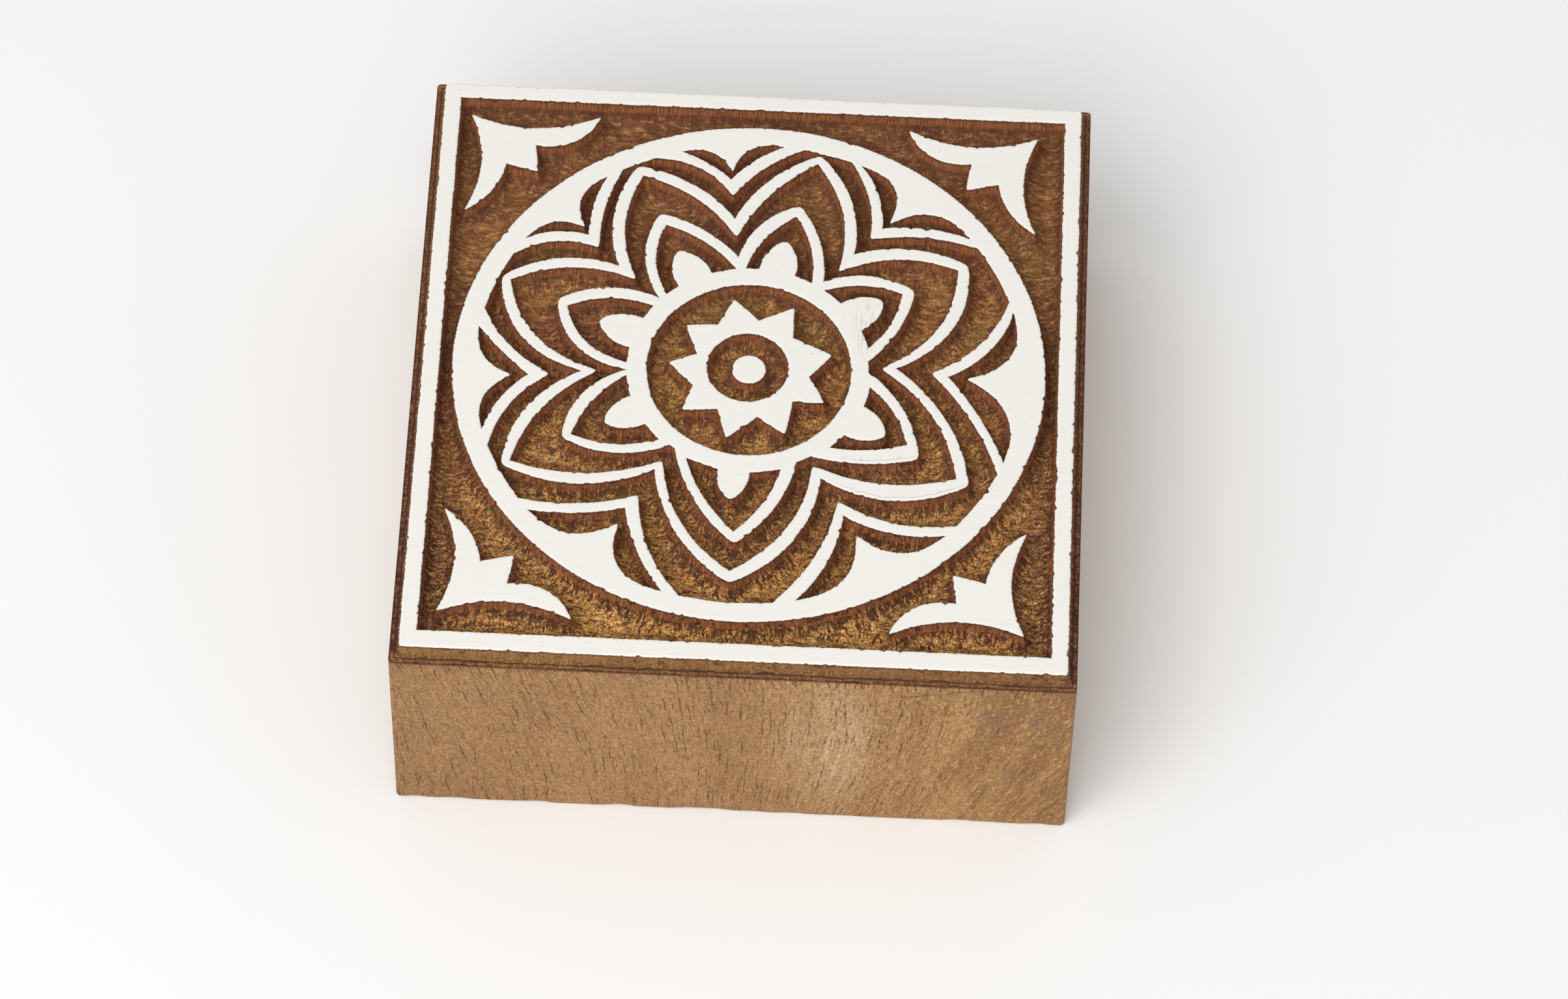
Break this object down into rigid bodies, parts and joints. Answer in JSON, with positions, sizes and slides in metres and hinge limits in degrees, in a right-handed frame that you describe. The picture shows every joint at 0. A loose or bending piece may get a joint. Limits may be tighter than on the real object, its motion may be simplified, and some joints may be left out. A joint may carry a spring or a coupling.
{
  "type": "textile printing block",
  "caption": "Carved wooden block for hand-printing textiles: a flower roundel in a line border with a leaf in each corner, white-coated relief on bare timber.",
  "frame": {"origin": "centre of the block's footprint on its flat back face", "axes": "+Z from the back face up to the printing face, +Y from the front edge of the pattern to its rear edge, +X to the right"},
  "size_m": [0.076, 0.0788, 0.0312],
  "materials": {
    "timber": "matte",
    "white_coat": "matte"
  },
  "bodies": {
    "root": {"carved_block": "timber", "border_coat": "white_coat", "rear_left_leaf_coat": "white_coat", "rear_right_leaf_coat": "white_coat", "front_left_leaf_coat": "white_coat", "front_right_leaf_coat": "white_coat", "ring_coat": "white_coat", "petal_line_coat": "white_coat", "flower_coat": "white_coat", "star_coat": "white_coat", "centre_dot_coat": "white_coat"}
  },
  "joints": []
}
